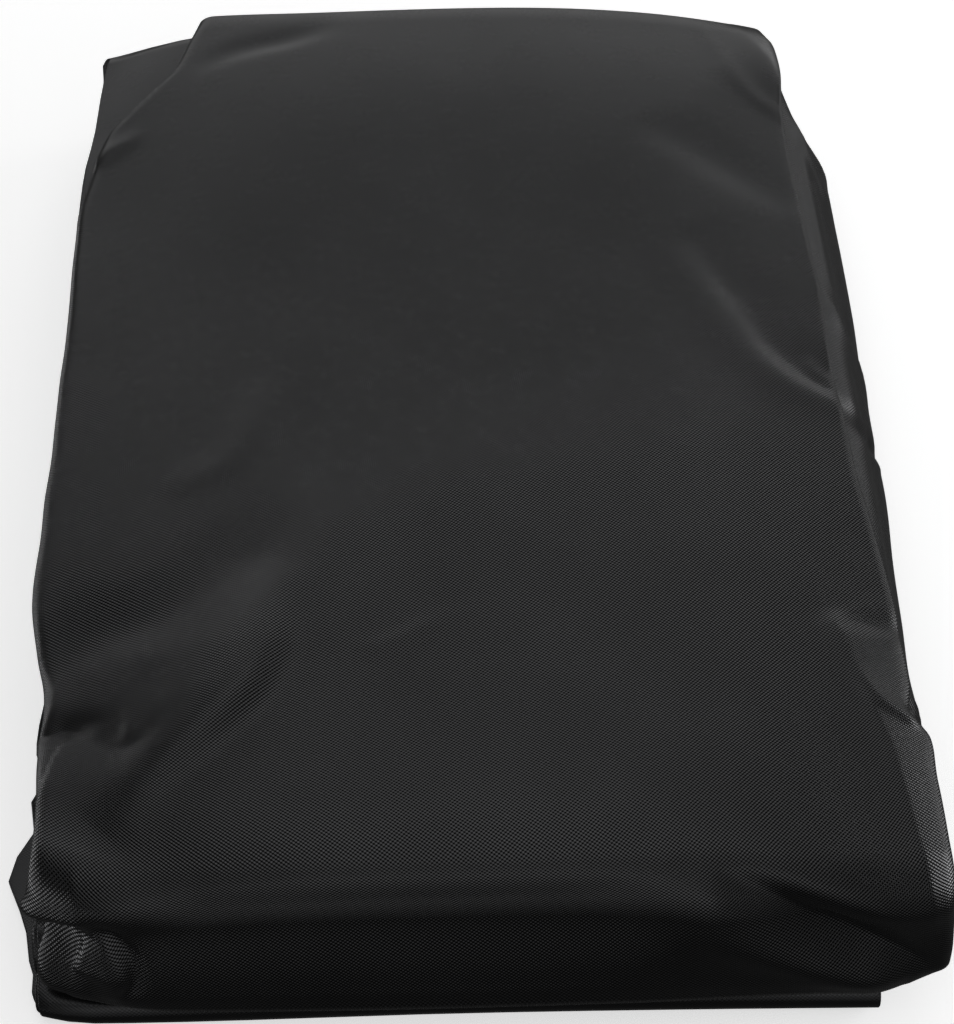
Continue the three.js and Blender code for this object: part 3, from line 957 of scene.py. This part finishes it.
def ply_ring(left, right, half):
    """The ply's outline at each cut: places across (x), and how far each is from its middle (-1 to 1)."""
    even = np.linspace(0, 1, PLY_COLUMNS)
    across = even - PLY_CROWDING * np.sin(2 * math.pi * even) / (2 * math.pi)
    arc = np.linspace(0, math.pi, PLY_SIDE_STEPS + 1)[1:-1]
    low_end, high_end = (left + half)[:, None], (right - half)[:, None]
    flat_x = mix(low_end, high_end, across)
    bulge = half[:, None] * np.sin(arc)
    x = np.concatenate([flat_x, high_end + bulge, flat_x[:, ::-1], low_end - bulge], axis=1)
    lift = np.concatenate([-np.ones(PLY_COLUMNS), -np.cos(arc), np.ones(PLY_COLUMNS), np.cos(arc)])
    return x, lift


def ply(number, material):
    rows = cloth_path(PLY_TRIM["first"] + PLY_TRIM["more"] * number)
    distance = along_path(rows)
    along = along_from_top(rows)[:, None]
    middle, half = ply_depths(rows, number)
    left, right = (ply_edge(rows, distance, number, side) for side in ("left", "right"))
    x, lift = ply_ring(left, right, half)
    near_top = (rows[:, FROM_RUN] == TOP_RUN) | (rows[:, TO_RUN] == TOP_RUN)
    rise = np.where(near_top[:, None], top_rise(x, along) + under_rise(x, along), 0.0)
    deep = middle[:, None] + lift * half[:, None]
    y, level = place_in_cloth(rows, deep - rise * (1 - deep / thickness_there(rows)[:, None]))
    points = settle(x, y, level)
    count, ring = x.shape
    faces = grid_faces(count, ring, closed=True)
    faces += ply_end(0, first=True)
    faces += ply_end((count - 1) * ring, first=False)
    uvs = np.stack([x, np.broadcast_to(distance[:, None], x.shape)], -1).reshape(-1, 2)
    return mesh_object("ply_%d" % (number + 1), points.reshape(-1, 3), faces, uvs, material)


def ply_end(start, first):
    """Closes an end: each point of one face is joined to the point of the other face under it."""
    half_turn = (PLY_SIDE_STEPS - 1) // 2
    ring = 2 * PLY_COLUMNS + 2 * (PLY_SIDE_STEPS - 1)

    def over(k):
        return start + k % ring

    def under(k):
        return over(2 * PLY_COLUMNS + PLY_SIDE_STEPS - 2 - k)

    faces = []
    for k in range(-half_turn - 1, PLY_COLUMNS + half_turn):
        corners = []
        for corner in (over(k), over(k + 1), under(k + 1), under(k)):
            if corner not in corners:
                corners.append(corner)
        if len(corners) > 2:
            faces.append(tuple(corners[::-1]) if first else tuple(corners))
    return faces


# The cloth's look: a black coated plain weave, woven from yarns at these pitches and lying a little askew.
YARN_PITCH = {"across": 0.87, "along": 0.72}
GRAIN_TURN = -6.0
CLOTH_COLOUR = (0.0408, 0.0411, 0.0422, 1)
CLOTH_GLOSS = 0.42
CLOTH_SHEEN = {"Sheen Weight": 0.05, "Sheen Roughness": 0.4}
# The coating mirrors light as darkly as the yarn under it: this share of the look goes by the yarn's painted
# shade.
COATING_SHARE = 0.85
# How steep the yarns' crowns are (rise over run).
YARN_SLOPE = 0.24
# The painted shade and the roughness of a crown, from its front side to its far side.
# Front sides are painted dark as shade, far sides lighter as a painted highlight from the lights behind.
YARN_PAINTED_SHADES = {"low": 0.5, "high": -0.5, "start": 0.0, "end": 2.3}
YARN_ROUGHNESS = {"low": 0.6, "high": -0.6, "start": 0.3, "end": 0.22}
# The weave's slopes and painted shade are strongest at the roll and fade towards the far end: y in metres.
WEAVE_FADE = {"low": -0.05, "high": 0.11, "start": 1.0, "end": 0.22}
# Unevenness. Each pattern has so many bumps a metre, and what it changes goes from start to end.
FINE_NOISE = {"scale": 900.0, "detail": 3.0, "roughness": 0.6}
BROAD_NOISE = {"scale": 14.0, "detail": 3.0, "roughness": 0.55}
WORN_NOISE = {"scale": 60.0, "detail": 4.0, "roughness": 0.6}
FINE_SHADES = {"low": 0.2, "high": 0.8, "start": 0.85, "end": 1.15}
BROAD_SHADES = {"low": 0.3, "high": 0.7, "start": 0.92, "end": 1.08}
WORN_ROUGHNESS = {"low": 0.3, "high": 0.7, "start": -0.03, "end": 0.03}
MIX_NODE_COLOURS = (6, 7)
MIX_NODE_RESULT = 2


class Nodes:
    """Adds nodes to a material, one short call for each."""

    def __init__(self, tree):
        self.tree = tree

    def add(self, kind, **settings):
        node = self.tree.nodes.new(kind)
        for key, value in settings.items():
            setattr(node, key, value)
        return node

    def link(self, source, target):
        self.tree.links.new(source, target)

    def feed(self, socket, value):
        if isinstance(value, bpy.types.NodeSocket):
            self.link(value, socket)
        else:
            socket.default_value = value

    def math(self, operation, *values):
        node = self.add("ShaderNodeMath", operation=operation)
        for k, value in enumerate(values):
            self.feed(node.inputs[k], value)
        return node.outputs[0]

    def noise(self, vector, scale, detail, roughness):
        node = self.add("ShaderNodeTexNoise")
        self.link(vector, node.inputs["Vector"])
        node.inputs["Scale"].default_value = scale
        node.inputs["Detail"].default_value = detail
        node.inputs["Roughness"].default_value = roughness
        return node.outputs["Fac"]

    def ramp(self, value, low, high, start, end):
        node = self.add("ShaderNodeMapRange", clamp=True)
        self.feed(node.inputs["Value"], value)
        for name, number in (("From Min", low), ("From Max", high), ("To Min", start), ("To Max", end)):
            node.inputs[name].default_value = number
        return node.outputs["Result"]


def weave(nodes, uv, place):
    """The yarns' crowns, which rise and fall like a chequer: their slope both ways, and their front sides."""
    turned = nodes.add("ShaderNodeSeparateXYZ")
    nodes.link(place, turned.inputs["Vector"])
    straight = nodes.add("ShaderNodeSeparateXYZ")
    nodes.link(uv, straight.inputs["Vector"])
    strength = nodes.ramp(straight.outputs["Y"], **WEAVE_FADE)

    def waves(axis, pitch):
        turns = nodes.math("MULTIPLY", turned.outputs[axis], math.pi / (pitch * MILLIMETRE))
        return nodes.math("SINE", turns), nodes.math("COSINE", turns)

    across, across_slope = waves("X", YARN_PITCH["across"])
    along, along_slope = waves("Y", YARN_PITCH["along"])
    chequer_x = nodes.math("MULTIPLY", across_slope, along)
    chequer_y = nodes.math("MULTIPLY", across, along_slope)
    steep = nodes.math("MULTIPLY", strength, YARN_SLOPE)
    slopes = [nodes.math("MULTIPLY", chequer, steep) for chequer in (chequer_x, chequer_y)]
    return slopes, nodes.math("MULTIPLY", chequer_y, strength)


def weave_colour_and_painted_shade(nodes, front_side, place):
    # Painted shade and highlight: each crown is painted dark on its front side and light on its far side.
    shade = nodes.ramp(front_side, **YARN_PAINTED_SHADES)
    shade = nodes.math("MULTIPLY", shade, nodes.ramp(nodes.noise(place, **BROAD_NOISE), **BROAD_SHADES))
    shade = nodes.math("MULTIPLY", shade, nodes.ramp(nodes.noise(place, **FINE_NOISE), **FINE_SHADES))
    grey = nodes.add("ShaderNodeCombineColor")
    for k in range(3):
        nodes.link(shade, grey.inputs[k])
    tint = nodes.add("ShaderNodeMix", data_type="RGBA", blend_type="MULTIPLY")
    tint.inputs["Factor"].default_value = 1.0
    for k, colour in zip(MIX_NODE_COLOURS, (CLOTH_COLOUR, grey.outputs["Color"])):
        nodes.feed(tint.inputs[k], colour)
    return tint.outputs[MIX_NODE_RESULT]


def weave_roughness(nodes, front_side, place):
    worn = nodes.ramp(nodes.noise(place, **WORN_NOISE), **WORN_ROUGHNESS)
    return nodes.math("ADD", nodes.ramp(front_side, **YARN_ROUGHNESS), worn)


def weave_normal(nodes, slopes):
    """Tilts the surface by the crowns' slopes. In the colour that carries a slope, half stands for level."""
    turn = nodes.add("ShaderNodeCombineColor")
    for k, slope in enumerate(slopes):
        nodes.link(nodes.math("MULTIPLY_ADD", slope, -0.5, 0.5), turn.inputs[k])
    turn.inputs["Blue"].default_value = 1.0
    bent = nodes.add("ShaderNodeNormalMap", space="TANGENT", uv_map="cloth")
    nodes.link(turn.outputs["Color"], bent.inputs["Color"])
    return bent.outputs["Normal"]


def cloth_material():
    material = bpy.data.materials.new("black coated oxford")
    material.use_nodes = True
    material.node_tree.nodes.clear()
    nodes = Nodes(material.node_tree)
    uv = nodes.add("ShaderNodeUVMap", uv_map="cloth").outputs["UV"]
    turned = nodes.add("ShaderNodeMapping")
    nodes.link(uv, turned.inputs["Vector"])
    turned.inputs["Rotation"].default_value = (0, 0, math.radians(GRAIN_TURN))
    place = turned.outputs["Vector"]
    slopes, front_side = weave(nodes, uv, place)
    shader = nodes.add("ShaderNodeBsdfPrincipled")
    nodes.link(weave_colour_and_painted_shade(nodes, front_side, place), shader.inputs["Base Color"])
    nodes.link(weave_roughness(nodes, front_side, place), shader.inputs["Roughness"])
    nodes.link(weave_normal(nodes, slopes), shader.inputs["Normal"])
    shader.inputs["Metallic"].default_value = COATING_SHARE
    shader.inputs["Specular IOR Level"].default_value = CLOTH_GLOSS
    for name, value in CLOTH_SHEEN.items():
        shader.inputs[name].default_value = value
    out = nodes.add("ShaderNodeOutputMaterial")
    nodes.link(shader.outputs["BSDF"], out.inputs["Surface"])
    return material


# The surface that the packet lies on, in metres. It glows a little, as a white studio table does.
FLOOR_CORNERS = ((-3, -3), (3, -3), (3, 3), (-3, 3))
FLOOR_DROP = 0.0002
FLOOR_LOOK = {
    "Base Color": (0.9, 0.9, 0.9, 1),
    "Roughness": 0.6,
    "Emission Color": (1, 1, 1, 1),
    "Emission Strength": 0.6,
}


def floor_sheet():
    material = bpy.data.materials.new("pale floor")
    material.use_nodes = True
    shader = material.node_tree.nodes["Principled BSDF"]
    for name, value in FLOOR_LOOK.items():
        shader.inputs[name].default_value = value
    mesh = bpy.data.meshes.new("floor")
    mesh.from_pydata([(x, y, -FLOOR_DROP) for x, y in FLOOR_CORNERS], [], [(0, 1, 2, 3)])
    mesh.materials.append(material)
    made = bpy.data.objects.new("floor", mesh)
    bpy.context.scene.collection.objects.link(made)
    made.visible_diffuse = False
    made.visible_glossy = False
    return made


# Lights: places and sizes in metres, strength in watts. They aim at the packet. The two that stand for the
# white table's own glow at its left and right aim straight up instead.
PACKET_MIDDLE = (0, 0, 0.06)
LIGHTS = (
    {"name": "back wall", "at": (0.0, 2.2, 0.95), "size": (4.0, 1.9), "watts": 3.2},
    {"name": "back middle", "at": (0.0, 2.1, 1.15), "size": (3.6, 0.5), "watts": 3.2},
    {"name": "back low", "at": (0.0, 2.0, 0.4), "size": (2.6, 0.8), "watts": 3.2},
    {"name": "back right", "at": (1.6, 1.2, 0.3), "size": (2.4, 0.4), "watts": 2.2},
    {"name": "right table", "at": (1.1, 0.8, 0.002), "aim": (1.1, 0.8, 1), "size": (1.6, 1.6), "watts": 2.4},
    {"name": "right wall", "at": (2.0, 0.2, 0.5), "size": (1.8, 0.8), "watts": 17},
    {"name": "right side", "at": (2.0, -0.3, 0.3), "size": (1.8, 0.5), "watts": 4},
    {"name": "left low", "at": (-1.8, 0.3, 0.12), "size": (2.6, 0.24), "watts": 7},
    {"name": "left table", "at": (-1.1, -0.2, 0.002), "aim": (-1.1, -0.2, 1), "size": (1.4, 1.4), "watts": 9},
    {"name": "high back", "at": (0.0, 0.85, 1.75), "size": (2.4, 1.0), "watts": 3.8},
    {"name": "back high", "at": (0.0, 1.6, 1.4), "size": (3.0, 0.5), "watts": 1.5},
    {"name": "overhead", "at": (0.0, -0.25, 2.1), "size": (2.4, 1.7), "watts": 5.6},
    {"name": "front", "at": (0.0, -1.7, 1.62), "size": (2.4, 1.1), "watts": 4.1},
    {"name": "front middle", "at": (0.0, -2.1, 0.95), "size": (2.6, 0.46), "watts": 1.2},
    {"name": "front low", "at": (0.0, -2.2, 0.36), "size": (3.2, 0.66), "watts": 1.2},
)
SURROUND = (0.042, 0.042, 0.042)


def aimed(place, target):
    return (Vector(target) - Vector(place)).to_track_quat("-Z", "Y").to_euler()


def add_lights():
    for row in LIGHTS:
        light = bpy.data.lights.new(row["name"], "AREA")
        light.shape = "RECTANGLE"
        light.size, light.size_y = row["size"]
        light.energy = row["watts"]
        made = bpy.data.objects.new(row["name"], light)
        made.location = row["at"]
        made.rotation_euler = aimed(row["at"], row.get("aim", PACKET_MIDDLE))
        made.visible_camera = False
        bpy.context.scene.collection.objects.link(made)
    world = bpy.data.worlds.new("studio")
    world.use_nodes = True
    world.node_tree.nodes["Background"].inputs["Color"].default_value = (*SURROUND, 1)
    bpy.context.scene.world = world


# The camera: place in metres, tilt from straight down and turn in degrees, lens and sensor in millimetres.
CAMERA = {"place": (-0.0197, -0.6650, 0.787), "tilt": 40.0, "turn": -2.3, "lens": 80.0, "sensor": 36.0}


def add_camera():
    camera = bpy.data.cameras.new("photo angle")
    camera.lens = CAMERA["lens"]
    camera.sensor_width = CAMERA["sensor"]
    made = bpy.data.objects.new("photo angle", camera)
    made.location = CAMERA["place"]
    made.rotation_euler = (math.radians(CAMERA["tilt"]), 0, math.radians(CAMERA["turn"]))
    bpy.context.scene.collection.objects.link(made)
    bpy.context.scene.camera = made


def main():
    material = cloth_material()
    fabric = top_cloth(material)
    side_cloth = hanging_cloth(material)
    plies = [ply(number, material) for number in range(PLY_COUNT)]
    for piece in (fabric, side_cloth, *plies):
        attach(piece, "root")
        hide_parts(NODE)
    ground = floor_sheet()
    add_lights()
    add_camera()
    bpy.context.scene.view_settings.view_transform = "Standard"


main()
